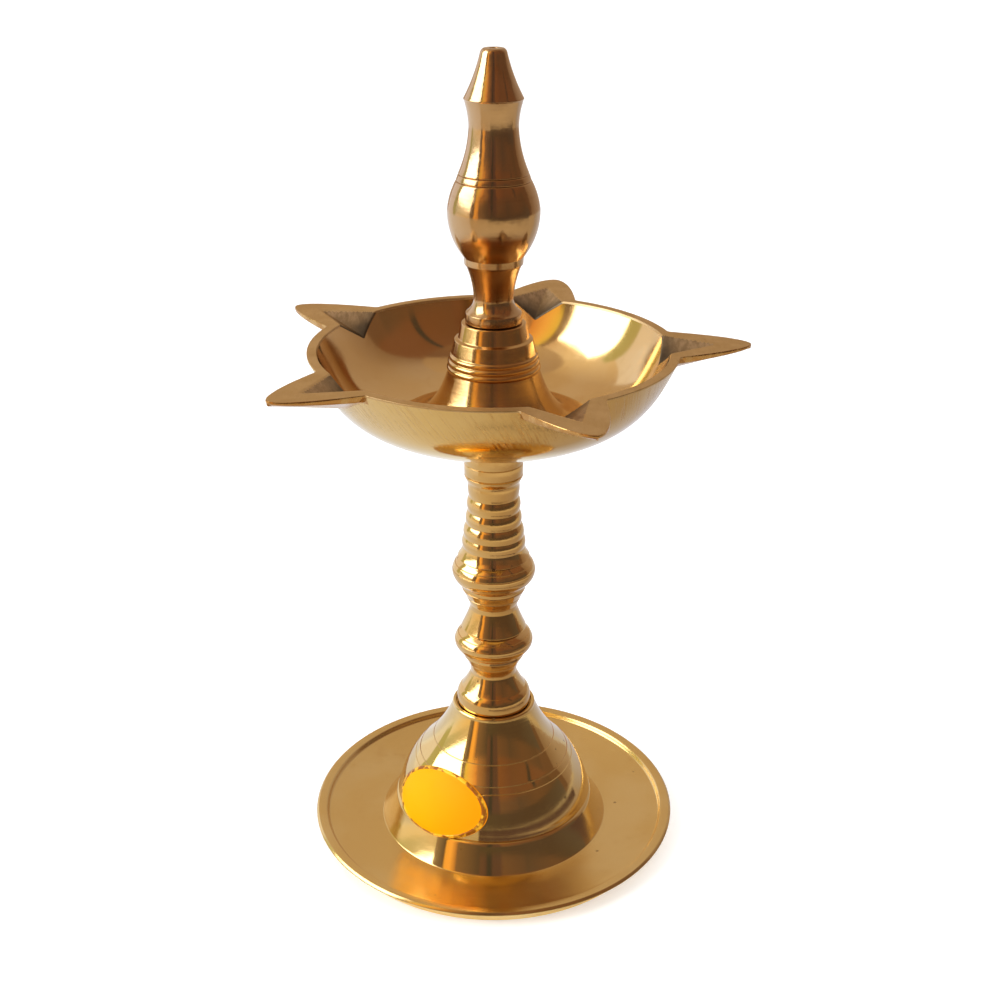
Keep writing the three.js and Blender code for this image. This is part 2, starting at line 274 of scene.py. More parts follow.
def revolve(outline, lift, around):
    """Vertices and faces of a closed outline turned about the axis; points on the axis become one vertex."""
    verts, rings = [], []
    angles = np.linspace(0, 2 * math.pi, around, endpoint=False)
    for r, z in outline:
        if r < 1e-6:
            rings.append([len(verts)])
            verts.append((0, 0, (z + lift) * MM))
        else:
            rings.append(list(range(len(verts), len(verts) + around)))
            verts += [(r * math.cos(a) * MM, r * math.sin(a) * MM, (z + lift) * MM) for a in angles]
    faces = []
    for low, high in zip(rings, rings[1:]):
        for j in range(around):
            k = (j + 1) % around
            if len(low) == 1 and len(high) == 1:
                continue
            if len(low) == 1:
                faces.append((low[0], high[k], high[j]))
            elif len(high) == 1:
                faces.append((low[j], low[k], high[0]))
            else:
                faces.append((low[j], low[k], high[k], high[j]))
    return verts, faces


def turned_piece(name, outline, lift, body, material, around=AROUND):
    """A turned casting, whose outline runs from the axis, up its outside, and back to the axis."""
    verts, faces = revolve(outline, lift, around)
    return finish_mesh(name + "_turned", verts, faces, body, name, [material])


# Materials

class Tree:
    """Short ways to add nodes to a material."""

    def __init__(self, name):
        self.material = bpy.data.materials.new(name)
        self.material.use_nodes = True
        self.nodes = self.material.node_tree.nodes
        self.links = self.material.node_tree.links
        self.shader = self.nodes["Principled BSDF"]
        self.place = self.node("ShaderNodeTexCoord").outputs["Object"]
        self.bump_from = None

    def node(self, kind, inputs=None, **settings):
        made = self.nodes.new(kind)
        for key, value in settings.items():
            setattr(made, key, value)
        for key, value in (inputs or {}).items():
            if isinstance(value, bpy.types.NodeSocket):
                self.links.new(value, made.inputs[key])
            else:
                made.inputs[key].default_value = value
        return made

    def math(self, operation, a, b=0.0, clamp=False):
        return self.node("ShaderNodeMath", {0: a, 1: b}, operation=operation, use_clamp=clamp).outputs[0]

    def noise(self, vector, scale, detail=4.0, roughness=0.55, dimensions="3D"):
        made = self.node(
            "ShaderNodeTexNoise",
            {"Vector": vector, "Scale": scale, "Detail": detail, "Roughness": roughness},
            noise_dimensions=dimensions,
        )
        return made.outputs[0]

    def span(self, value, low, high, to_low=0.0, to_high=1.0):
        """value from low..high mapped to to_low..to_high, smoothly and clamped."""
        made = self.node(
            "ShaderNodeMapRange",
            {"Value": value, "From Min": low, "From Max": high, "To Min": to_low, "To Max": to_high},
            interpolation_type="SMOOTHSTEP",
        )
        return made.outputs[0]

    def mix(self, factor, a, b):
        made = self.node("ShaderNodeMix", data_type="RGBA")
        for key, value in ((0, factor), (6, a), (7, b)):
            if isinstance(value, bpy.types.NodeSocket):
                self.links.new(value, made.inputs[key])
            else:
                made.inputs[key].default_value = value
        return made.outputs[2]

    def tint(self, colour, tone):
        made = self.node(
            "ShaderNodeMix",
            {0: 1.0, 6: colour, 7: (*tone, 1)},
            data_type="RGBA",
            blend_type="MULTIPLY",
        )
        return made.outputs[2]

    def profile_place(self):
        """(radius, height) of the shaded point, in metres, as a vector: equal all round the lathe axis."""
        parts = self.node("ShaderNodeSeparateXYZ", {0: self.place})
        flat = self.node("ShaderNodeCombineXYZ", {"X": parts.outputs["X"], "Y": parts.outputs["Y"]})
        radius = self.node("ShaderNodeVectorMath", {0: flat.outputs[0]}, operation="LENGTH").outputs["Value"]
        made = self.node("ShaderNodeCombineXYZ", {"X": radius, "Y": parts.outputs["Z"]})
        return made.outputs[0], radius, parts

    def lathe_lines(self, profile):
        """Fine and coarse turned lines."""
        fine = self.noise(profile, 5200, 3, 0.6, "2D")
        coarse = self.noise(profile, 900, 4, 0.6, "2D")
        return fine, coarse

    def bump(self, height, distance, strength=1.0):
        inputs = {"Height": height, "Distance": distance, "Strength": strength}
        if self.bump_from is not None:
            inputs["Normal"] = self.bump_from
        self.bump_from = self.node("ShaderNodeBump", inputs).outputs["Normal"]
        self.links.new(self.bump_from, self.shader.inputs["Normal"])

    def set(self, **values):
        for key, value in values.items():
            socket = self.shader.inputs[key.replace("_", " ")]
            if isinstance(value, bpy.types.NodeSocket):
                self.links.new(value, socket)
            else:
                socket.default_value = value


BRASS = (0.85, 0.62, 0.26, 1)
BRASS_PALE = (0.89, 0.69, 0.34, 1)
BRASS_RED = (0.68, 0.41, 0.14, 1)
TARNISH = (0.18, 0.12, 0.07, 1)
FILED_TINT = (1, 0.86, 0.66, 1)
SATIN_ROUGHNESS = 0.13
SATIN_BLEND = 0.3


def brass(name, roughness, turning, pits=0.0, stain=0.5, satin_past=None, tone=(1, 1, 1), wobble=0.0):
    """Polished brass with lathe lines round the axis, which smear reflections across them.

    turning, pits, stain and wobble are the strengths of its lathe lines, casting pits, patchy tarnish and the
    hand finish that makes the reflections' edges ragged. It is less glossy past the radius satin_past, in mm.
    """
    t = Tree(name)
    profile, radius, _ = t.profile_place()
    fine, coarse = t.lathe_lines(profile)
    cloud = t.noise(t.place, 38, 5)
    smear = t.noise(t.place, 140, 5, 0.65)
    colour = t.mix(t.span(cloud, 0.38, 0.7), BRASS, BRASS_PALE)
    colour = t.mix(t.span(smear, 0.56, 0.78, 0, stain), colour, BRASS_RED)
    line_tone = t.span(coarse, 0.62, 0.8, 0, 0.25 * turning)
    colour = t.mix(line_tone, colour, BRASS_RED)
    patchy = t.span(smear, 0.35, 0.75, 0.0, 0.05)
    lined = t.span(coarse, 0.35, 0.75, 0.0, 0.04 * turning)
    gloss = t.math("ADD", patchy, lined)
    if satin_past is not None:
        start, end = (satin_past - SATIN_BLEND) * MM, (satin_past + SATIN_BLEND) * MM
        gloss = t.math("ADD", gloss, t.span(radius, start, end, 0, SATIN_ROUGHNESS))
    t.bump(fine, 0.00001 * turning, 0.6)
    t.bump(coarse, 0.00002 * turning, 0.5)
    if wobble:
        t.bump(t.noise(t.place, 240, 2), 0.0001 * wobble)
    if pits:
        cells = t.node("ShaderNodeTexVoronoi", {"Vector": t.place, "Scale": 420.0, "Randomness": 1.0})
        choice = t.node("ShaderNodeSeparateColor", {0: cells.outputs["Color"]}).outputs[0]
        size = t.span(choice, 0.95, 1.0, 0.0, 0.2)
        pit = t.math("MULTIPLY", t.math("LESS_THAN", cells.outputs["Distance"], size), pits)
        colour = t.mix(t.math("MULTIPLY", pit, 0.8), colour, TARNISH)
        t.bump(t.math("SUBTRACT", 1.0, pit), 0.00012, 0.8)
    t.set(
        Base_Color=t.tint(colour, tone),
        Roughness=t.math("ADD", gloss, roughness),
        Metallic=1.0,
        Anisotropic=0.85,
        Anisotropic_Rotation=0.25,
    )
    return t.material


def bowl_brass(rim_height):
    """Brass of the bowl, with slanting file marks on its outside under the rim."""
    t = Tree("brass_bowl")
    profile, _, parts = t.profile_place()
    fine, coarse = t.lathe_lines(profile)
    cloud = t.noise(t.place, 38, 5)
    smear = t.noise(t.place, 150, 5, 0.65)
    angle = t.math("ARCTAN2", parts.outputs["Y"], parts.outputs["X"])
    round_way = t.math("MULTIPLY", angle, RIM_RADIUS * MM)
    slanted = t.math("ADD", round_way, t.math("MULTIPLY", parts.outputs["Z"], 0.55))
    strokes_at = t.node(
        "ShaderNodeCombineXYZ",
        {"X": t.math("MULTIPLY", slanted, 1500.0), "Y": t.math("MULTIPLY", parts.outputs["Z"], 90.0)},
    )
    strokes = t.noise(strokes_at.outputs[0], 1.0, 3, 0.7, "2D")
    low_edge = t.math("ADD", t.math("MULTIPLY", cloud, 0.012), rim_height - 0.019)
    under_rim = t.math("DIVIDE", t.math("SUBTRACT", parts.outputs["Z"], low_edge), 0.004, True)
    filed = t.math("MULTIPLY", under_rim, t.span(strokes, 0.48, 0.7))
    colour = t.mix(t.span(cloud, 0.38, 0.7), BRASS, BRASS_PALE)
    colour = t.mix(t.span(smear, 0.58, 0.8, 0, 0.4), colour, BRASS_RED)
    colour = t.mix(t.math("MULTIPLY", filed, 0.35), colour, BRASS_RED)
    gloss = t.math("ADD", t.span(smear, 0.35, 0.75, 0.07, 0.14), t.math("MULTIPLY", filed, 0.2))
    t.bump(fine, 0.000008, 0.6)
    t.bump(coarse, 0.000014, 0.5)
    t.bump(t.math("SUBTRACT", 1.0, filed), 0.00005, 0.6)
    t.set(Base_Color=colour, Roughness=gloss, Metallic=1.0, Anisotropic=0.6, Anisotropic_Rotation=0.25)
    return t.material


def filed_brass():
    """Flat matte brass of the filed rim and spout tops."""
    t = Tree("brass_filed")
    stretched = t.node("ShaderNodeMapping", {"Vector": t.place, "Scale": (900.0, 220.0, 600.0)})
    scratches = t.noise(stretched.outputs[0], 1.0, 5, 0.7)
    cloud = t.noise(t.place, 160, 4)
    colour = t.mix(t.span(cloud, 0.35, 0.7), (0.64, 0.47, 0.25, 1), (0.72, 0.55, 0.32, 1))
    colour = t.mix(t.span(scratches, 0.6, 0.8, 0, 0.4), colour, (0.34, 0.21, 0.11, 1))
    t.bump(scratches, 0.00004, 0.5)
    rough = t.span(scratches, 0.3, 0.7, 0.34, 0.5)
    t.set(Base_Color=colour, Roughness=rough, Metallic=1.0, Specular_Tint=FILED_TINT)
    return t.material


def channel_brass(rim_height):
    """Satin, filed wick channels, with painted shade that darkens them where they are deepest."""
    t = Tree("brass_channel")
    stretched = t.node("ShaderNodeMapping", {"Vector": t.place, "Scale": (900.0, 500.0, 90.0)})
    strokes = t.noise(stretched.outputs[0], 1.0, 4, 0.65)
    cloud = t.noise(t.place, 220, 4)
    _, radius, parts = t.profile_place()
    colour = t.mix(t.span(strokes, 0.35, 0.68), (0.40, 0.30, 0.19, 1), (0.60, 0.46, 0.30, 1))
    colour = t.mix(t.span(cloud, 0.5, 0.75, 0, 0.25), colour, (0.28, 0.22, 0.16, 1))
    # Painted shade: darker the further the channel lies below the rim, and nearly black at its inner end,
    # where it drops into the bowl.
    shade_below_rim = t.math("SUBTRACT", rim_height, parts.outputs["Z"])
    colour = t.mix(t.span(shade_below_rim, 0.0006, 0.0042, 0, 0.6), colour, (0.20, 0.15, 0.09, 1))
    deep = t.span(t.math("ADD", radius, t.math("MULTIPLY", cloud, 0.006)), 0.0485, 0.056, 0.85, 0)
    colour = t.mix(deep, colour, (0.085, 0.08, 0.07, 1))
    t.bump(strokes, 0.00004, 0.6)
    rough = t.span(strokes, 0.3, 0.7, 0.34, 0.46)
    t.set(Base_Color=colour, Roughness=rough, Metallic=1.0, Specular_Tint=FILED_TINT)
    return t.material


def edge_brass():
    """Reddish, half-cleaned skin on the spouts' sides and undersides."""
    t = Tree("brass_edge")
    cloud = t.noise(t.place, 260, 6, 0.65)
    colour = t.mix(t.span(cloud, 0.4, 0.68), (0.58, 0.33, 0.12, 1), (0.80, 0.56, 0.26, 1))
    t.bump(cloud, 0.00008, 0.5)
    t.set(Base_Color=colour, Roughness=t.span(cloud, 0.35, 0.7, 0.2, 0.36), Metallic=1.0)
    return t.material


def thread_brass():
    """Machined brass of the studs, faintly mottled."""
    t = Tree("brass_thread")
    cloud = t.noise(t.place, 700, 4)
    colour = t.mix(t.span(cloud, 0.4, 0.7), (0.50, 0.31, 0.11, 1), (0.68, 0.45, 0.18, 1))
    t.bump(cloud, 0.00004, 0.5)
    t.set(Base_Color=colour, Roughness=t.span(cloud, 0.3, 0.7, 0.28, 0.42), Metallic=1.0)
    return t.material


def foil_gold():
    """Bright foil with faint print grain. Its colour runs from yellow at its left to orange at its right, a
    painted light falloff that is brighter on the side towards the lamps.
    """
    t = Tree("foil_gold")
    grain = t.noise(t.place, 900, 4)
    _, _, parts = t.profile_place()
    # Painted light: the foil is yellower on its left, where more light falls, and more orange on its right.
    colour = t.mix(t.span(parts.outputs["X"], -0.03, -0.004), (1.0, 0.47, 0.0, 1), (1.0, 0.30, 0.0, 1))
    t.bump(grain, 0.00003, 0.3)
    t.set(
        Base_Color=colour,
        Roughness=t.span(grain, 0.3, 0.7, 0.42, 0.5),
        Metallic=0.0,
        Specular_IOR_Level=0.06,
    )
    return t.material


def foil_rim():
    """Darker pressed border of the label, in its own dark orange, with painted glints as bright yellow spots.
    """
    t = Tree("foil_border")
    beads_and_glints = t.noise(t.place, 380, 2)
    # Partly painted light: the dark orange is the border's colour, and the bright yellow spots stand for
    # glints on its beads.
    colour = t.mix(t.span(beads_and_glints, 0.45, 0.6), (0.34, 0.10, 0.004, 1), (1.0, 0.52, 0.02, 1))
    t.bump(beads_and_glints, 0.00008, 0.6)
    t.set(Base_Color=colour, Roughness=0.3, Metallic=0.3)
    return t.material


# Pieces

def bell_outline():
    swell = bowed(BELL_LIP, BELL_SHOULDER, BELL_SWELL)
    neck = bowed(BELL_SHOULDER, (COLLAR_RADIUS, STEM_SEAT), -NECK_HOLLOW)
    return [np.array(BELL_FOOT), np.array(BELL_LIP), *swell, *neck]


def base_outline():
    ring = PLATE_RADIUS - FOOT_RING_INSET
    ring_inside = ring - FOOT_RING_WIDTH
    out_along = (ring_inside - SKIRT_FOOT[0]) / (FLOOR_EDGE[0] - SKIRT_FOOT[0])
    under_ring = lerp(SKIRT_FOOT[1], FLOOR_EDGE[1], out_along) - PLATE_THICK
    skirt_inside = (SKIRT_TOP[0] - BELL_WALL, SKIRT_TOP[1])
    skirt_foot_inside = (SKIRT_FOOT[0] - BELL_WALL, SKIRT_FOOT[1] - PLATE_THICK)
    bell = bell_outline()
    inside = [p for p in offset(bell, -BELL_WALL) if p[1] < STEM_SEAT - CROWN]
    hub_bottom = STEM_SEAT - HUB_DEPTH
    bore = M8["radius"] + THREAD_CLEARANCE
    top = STEM_SEAT + COLLAR_STEP
    outline = [
        (ring_inside, 0),
        (ring, 0),
        (ring, FOOT_RING_HEIGHT),
        (PLATE_RADIUS, LIP_TOP - LIP_EDGE),
        (PLATE_RADIUS, LIP_TOP - LIP_CHAMFER),
        (PLATE_RADIUS - LIP_CHAMFER, LIP_TOP),
        *bezier(LIP_STEP, 9),
        SKIRT_FOOT,
        *bowed(SKIRT_FOOT, SKIRT_TOP, -SKIRT_HOLLOW),
        *bowed(SKIRT_TOP, SKIRT_ROUND, SKIRT_ROUND_SWELL),
        *grooved(bell, BELL_GROOVES, BELL_GROOVE_DEPTH, BELL_GROOVE_WIDTH),
        (COLLAR_RADIUS, top - COLLAR_CHAMFER),
        (COLLAR_RADIUS - COLLAR_CHAMFER, top),
        (RECESS_RADIUS, top),
        (RECESS_RADIUS, STEM_SEAT),
        (bore, STEM_SEAT),
        (bore, hub_bottom),
        (bore + HUB_WALL, hub_bottom),
        (bore + HUB_WALL, inside[-1][1]),
        *inside[::-1],
        skirt_inside,
        *bowed(skirt_inside, skirt_foot_inside, SKIRT_HOLLOW),
        (ring_inside, under_ring),
        (ring_inside, 0),
    ]
    return rounded(outline)


def bored(outline, bottom, top):
    """A turned outline with a blind hole in each end, given as (radius, depth)."""
    height = outline[-1][1]
    return rounded([
        (0, bottom[1]), (bottom[0], bottom[1]), (bottom[0], 0),
        *outline,
        (top[0], height), (top[0], height - top[1]), (0, height - top[1]),
    ])


def stem_outline():
    ribs = [(rise, radius, 0.115) for rise, radius in ((3.5, 8.65), (3.9, 7.85), (4.05, 7.35), (4.35, 7.1))]
    whole = turned((11.0, 0), [
        (3.05, 11.0),
        (2.9, 9.5, 0.11),
        (5.0, 6.8, -0.025),
        (3.0, 7.35, -0.035),
        (0.6, 7.75),
        (2.3, 9.0, -0.03),
        (0.95, 8.95),
        (7.8, 8.8, 0.35),
        (0.5, 9.6),
        (6.4, 6.95, -0.015),
        (1.35, 6.95),
        (5.1, 9.25),
        (1.45, 9.35, -0.08),
        (8.6, 9.75, 0.3),
        (0.3, 10.45),
        (3.1, 8.95, -0.05),
        *ribs,
        (3.95, 7.4, 0.045),
        (0.8, 7.6),
        (1.8, 8.4, 0.03),
        (0.25, 7.95),
        (0.25, 8.4),
        (7.5, 8.4),
    ])
    return grooved(whole, STEM_GROOVES, STEM_GROOVE_DEPTH, STEM_GROOVE_WIDTH)


def finial_outline():
    return turned((7.8, 0), [
        (2.5, 7.6),
        (0.15, 7.4),
        (3.75, 5.4, -0.12),
        (9.2, 7.5, -0.045),
        (0.35, 7.95),
        (1.7, 8.05),
        (0.3, 8.1),
        (12.7, 12.35, 0.087),
        (7.35, 10.05, 0.045),
        (0.15, 9.55),
        (0.15, 9.9),
        (1.4, 9.4),
        (0.15, 8.95),
        (0.15, 9.3),
        (11.75, 6.5, -0.045),
        (6.0, 7.4, -0.033),
        (0.95, 7.65),
        (0.3, 7.85),
        (11.5, 3.45, -0.033),
        (0.95, 2.65, 0.1),
    ])


def bezier(corners, count):
    """Points of a cubic curve."""
    t = np.linspace(0, 1, count)[:, None]
    a, b, c, d = (np.array(p, float) for p in corners)
    return (1 - t) ** 3 * a + 3 * t * (1 - t) ** 2 * b + 3 * t * t * (1 - t) * c + t ** 3 * d


OUTSIDE = bezier(BOWL_CURVE, 500)
INSIDE = np.array(offset(OUTSIDE, -BOWL_WALL))


def outer_height(r):
    return np.interp(r, OUTSIDE[:, 0], OUTSIDE[:, 1])


def inner_height(r):
    return np.interp(r, INSIDE[:, 0], INSIDE[:, 1])


def stretch(curve, start, end, count):
    """Radii and heights of count even steps along the curve, between the radii start and end."""
    length = np.concatenate([[0], np.cumsum(np.hypot(*np.diff(curve, axis=0).T))])
    start, end = np.interp(start, curve[:, 0], length), np.interp(end, curve[:, 0], length)
    for t in np.arange(1, count + 1) / count:
        here = lerp(start, end, t)
        yield np.interp(here, length, curve[:, 0]), np.interp(here, length, curve[:, 1])


def lerp(a, b, t):
    return a + (b - a) * t


def half_width(x):
    start = RIM_RADIUS - SPOUT_ROOT_INSET
    share = np.clip((SPOUT_TIP - x) / (SPOUT_TIP - start), 0, 1)
    return SPOUT_ROOT_WIDTH / 2 * share ** SPOUT_BLUNTNESS


def spout_underside(x, y):
    reach = (x - RIM_RADIUS) / (SPOUT_TIP - RIM_RADIUS)
    keel = lerp(KEEL_DEPTH, SPOUT_TIP_THICK, reach)
    edge = lerp(SPOUT_EDGE, SPOUT_TIP_THICK / 2, np.clip(reach, 0, 1))
    share = 1 - np.clip(np.abs(y) / np.maximum(half_width(x), 0.1), 0, 1)
    return BOWL_DEPTH - edge - (keel - edge) * share


def channel_depth(x, y):
    bottom = CHANNEL_DEPTH * (CHANNEL_END - x) / (CHANNEL_END - CHANNEL_START)
    return np.maximum(bottom - np.sqrt(y ** 2 + CHANNEL_ROUND ** 2) * CHANNEL_SLOPE, 0)


def rim_reach():
    """Radius of the rim's outside against the angle from a spout's middle, in radians."""
    x = SPOUT_TIP - (SPOUT_TIP - RIM_RADIUS + SPOUT_ROOT_INSET) * np.linspace(1, 0, 400) ** 2
    w = half_width(x)
    angles = np.arctan2(w, x)[::-1]
    radii = np.hypot(x, w)[::-1]

    def reach(angle):
        spout = np.interp(np.abs(angle), angles, radii, left=SPOUT_TIP, right=RIM_RADIUS - 4)
        over = np.log(np.exp((spout - RIM_RADIUS) / NOTCH_ROUND) + 1) * NOTCH_ROUND
        return RIM_RADIUS + np.minimum(over, np.maximum(spout - RIM_RADIUS, 0) + 0.25)

    return reach


def spout_angles():
    """Angles round the rim from one spout's middle to the next, dense over the spout."""
    half_angle, dense, between = math.radians(16), 44, 22
    t = np.linspace(-1, 1, 2 * dense + 1)
    over = half_angle * np.sign(t) * np.abs(t) ** 1.35
    gap = 2 * math.pi / SPOUTS - 2 * half_angle
    rest = half_angle + gap * np.arange(1, between) / between
    return np.concatenate([over, rest])


def corner(a, b, c, reach):
    """Three points that round the corner b between a and c, for a whole row of columns at once."""
    d1, d2 = a - b, c - b
    l1 = np.linalg.norm(d1, axis=1, keepdims=True)
    l2 = np.linalg.norm(d2, axis=1, keepdims=True)
    p = b + d1 / l1 * np.minimum(reach, 0.4 * l1)
    q = b + d2 / l2 * np.minimum(reach, 0.4 * l2)
    return [p, 0.25 * p + 0.5 * b + 0.25 * q, q]


def spout_joins(off, fade):
    """Radius at which each column leaves the bowl's side for the underside of its spout."""
    samples = np.linspace(42.0, RIM_RADIUS - JOIN_MARGIN, 220)
    joins = np.full(len(off), RIM_RADIUS - JOIN_MARGIN)
    for i in range(len(off)):
        x, y = samples * math.cos(off[i]), samples * math.sin(off[i])
        lower = lerp(BOWL_DEPTH, spout_underside(x, y), fade[i]) < outer_height(samples)
        if lower.any():
            joins[i] = samples[int(np.argmax(lower))]
    return joins


def channel_lips(off):
    """Radius at which each column's flat top, or the channel cut in it, meets the inside of the bowl."""
    inner_rim = float(np.interp(BOWL_DEPTH, INSIDE[:, 1], INSIDE[:, 0]))
    samples = np.linspace(41.0, inner_rim, 260)
    lips = np.full(len(off), inner_rim)
    for i in range(len(off)):
        x, y = samples * math.cos(off[i]), samples * math.sin(off[i])
        above = BOWL_DEPTH - channel_depth(x, y) >= inner_height(samples) - 1e-9
        if not above.all():
            lips[i] = samples[max(int(np.argmin(above)) - 1, 0)]
    return lips


def boss_outline():
    return turned(BOSS_FOOT, [
        (1.65, 12.35, 0.28),
        (1.65, 12.0, 0.28),
        (1.6, 11.6, 0.28),
        (3.9, 10.75),
        (0.4, 9.7),
        (4.0, 8.8),
        (0.2, 8.6),
    ])


def oil_bowl(lift):
    """The bowl as one grid: columns run round it, closer together over the spouts, and rows along it."""
    local = spout_angles()
    pitch = 2 * math.pi / SPOUTS
    angle = np.concatenate([local + i * 2 * math.pi / SPOUTS for i in range(SPOUTS)])
    off = np.tile((local + math.pi / SPOUTS) % pitch - math.pi / SPOUTS, SPOUTS)
    columns = len(angle)
    outside_radius = rim_reach()(off)
    over_spout = np.abs(off) < CHANNEL_HALF_ANGLE

    def x_y(r):
        return r * np.cos(off), r * np.sin(off)

    def ring(r, z):
        return np.stack([np.broadcast_to(r, columns), np.broadcast_to(z, columns)], 1).astype(float)

    # The spout's underside fades into the rim beside it
    fade = np.clip((outside_radius - RIM_RADIUS) / SPOUT_FADE, 0, 1)
    fade = fade * fade * (3 - 2 * fade)
    joins = spout_joins(off, fade)
    lips = channel_lips(off)

    def under(r):
        spout = lerp(BOWL_DEPTH, spout_underside(*x_y(r)), fade)
        bowl = np.where(r < RIM_RADIUS, outer_height(np.minimum(r, RIM_RADIUS)), BOWL_DEPTH)
        return np.minimum(np.minimum(bowl, np.maximum(spout, 0)), BOWL_DEPTH)

    def top(r):
        return np.where(over_spout, BOWL_DEPTH - channel_depth(*x_y(r)), BOWL_DEPTH)

    rows, kinds = [], []

    def add(points, kind):
        rows.append(points)
        kinds.append(kind)

    # Up the outside from the lower blind hole, out along the spouts' undersides and over the rim
    bore = M8["radius"] + THREAD_CLEARANCE
    for r, z in rounded([(bore, HOLE_DEPTH), (bore, 0), (BOWL_SEAT_RADIUS, 0)]):
        add(ring(r, z), "outside")
    for r, z in stretch(OUTSIDE, BOWL_SEAT_RADIUS, joins, 60):
        add(ring(r, z), "outside")
    for t in np.linspace(0, 1, 18)[1:-1]:
        r = lerp(joins, outside_radius, t)
        add(ring(r, under(r)), "under")
    low = ring(outside_radius, np.minimum(under(outside_radius), BOWL_DEPTH - RIM_EDGE))
    high = ring(outside_radius, BOWL_DEPTH)
    inward = [lerp(outside_radius, lips, t) for t in np.linspace(0, 1, 30)[1:]]
    for p in corner(rows[-1], low, high, RIM_ROUND):
        add(p, "edge")
    for p in corner(low, high, ring(inward[0], top(inward[0])), RIM_ROUND):
        add(p, "edge")
    for r in inward[:-1]:
        add(ring(r, top(r)), "top")

    # Down the inside, up the flare and the boss, and down the upper blind hole
    lip = ring(lips, inner_height(lips))
    inside = [ring(r, z) for r, z in stretch(INSIDE, lips, FLARE_RADIUS, 48)]
    for p in corner(rows[-1], lip, inside[0], LIP_ROUND):
        add(p, "top")
    for points in inside:
        add(points, "dish")
    foot = (FLARE_RADIUS, inner_height(FLARE_RADIUS))
    flare = bezier((foot, (FLARE_FOOT_PULL, foot[1]), FLARE_TOP_PULL, BOSS_FOOT), 40)
    for p in flare[1:-1]:
        add(ring(*p), "dish" if p[0] > BOSS_METAL_RADIUS else "boss")
    boss = boss_outline()
    top_z = boss[-1][1]
    bore = M6["radius"] + THREAD_CLEARANCE
    for r, z in rounded([*boss, (bore, top_z), (bore, top_z - HOLE_DEPTH)]):
        add(ring(r, z), "boss")

    grid = np.stack(rows)
    world = np.empty(grid.shape[:2] + (3,))
    turn = angle + math.radians(SPOUT_TURN)
    world[..., 0] = grid[..., 0] * np.cos(turn) * MM
    world[..., 1] = grid[..., 0] * np.sin(turn) * MM
    world[..., 2] = (grid[..., 1] + lift) * MM
    verts = list(world.reshape(-1, 3))
    faces = grid_faces(len(rows), columns)
    proud = outside_radius > RIM_RADIUS + 0.5
    slots = []
    for i in range(len(rows) - 1):
        kind = "top" if kinds[i] == "top" else kinds[i + 1]
        if kind == "top":
            cut = channel_depth(*x_y(grid[i, :, 0])) > CHANNEL_TRACE
            slots.extend(np.where(cut & over_spout, BOWL_SLOTS["channel"], BOWL_SLOTS["rim"]))
        elif kind == "edge":
            slots.extend(np.where(proud, BOWL_SLOTS["spout"], BOWL_SLOTS["rim"]))
        elif kind == "under":
            slots.extend(np.where(proud, BOWL_SLOTS["spout"], BOWL_SLOTS["outside"]))
        else:
            slots.extend([BOWL_SLOTS[kind]] * columns)

    # Bottoms of the two blind holes
    last = (len(rows) - 1) * columns
    base = len(verts)
    verts.append(np.array([0, 0, (HOLE_DEPTH + lift) * MM]))
    verts.append(np.array([0, 0, (top_z - HOLE_DEPTH + lift) * MM]))
    for j in range(columns):
        k = (j + 1) % columns
        faces.append((base, k, j))
        faces.append((base + 1, last + j, last + k))
        slots += [BOWL_SLOTS["outside"]] * 2
    rim_height = (lift + BOWL_DEPTH) * MM
    materials = [
        bowl_brass(rim_height),
        filed_brass(),
        channel_brass(rim_height),
        edge_brass(),
        brass("brass_dish", 0.09, 0.25, 0.15, 0.3, tone=(0.95, 0.90, 0.95)),
        brass("brass_boss", 0.12, 1.6, 0.1, 0.8, tone=(0.80, 0.69, 0.64), wobble=0.4),
    ]
    return finish_mesh("oil_bowl_cast", verts, faces, "bowl", "oil_bowl", materials, slots)


def threaded_stud(name, size, bottom, body, material):
    """A stud with a real helical thread, its ends chamfered."""
    around, per_turn = 48, 12
    depth = THREAD_DEPTH * size["pitch"]
    rows = int(size["length"] / size["pitch"] * per_turn) + 1
    heights = np.linspace(0, size["length"], rows)
    angles = np.linspace(0, 2 * math.pi, around, endpoint=False)
    verts = [(0, 0, bottom * MM)]
    for z in heights:
        for a in angles:
            phase = (z / size["pitch"] - a / (2 * math.pi)) % 1
            ridge = min(1.0, max(0.0, abs(phase - 0.5) * 2.6 - 0.15))
            r = size["radius"] - depth * ridge
            end = min(z, size["length"] - z)
            r = min(r, size["radius"] - STUD_CHAMFER + end)
            verts.append((r * math.cos(a) * MM, r * math.sin(a) * MM, (z + bottom) * MM))
    verts.append((0, 0, (bottom + size["length"]) * MM))
    faces = [tuple(i + 1 for i in f) for f in grid_faces(rows, around)]
    last = 1 + (rows - 1) * around
    for j in range(around):
        k = (j + 1) % around
        faces.append((0, 1 + k, 1 + j))
        faces.append((len(verts) - 1, last + j, last + k))
    return finish_mesh(name + "_thread", verts, faces, body, name, [material])


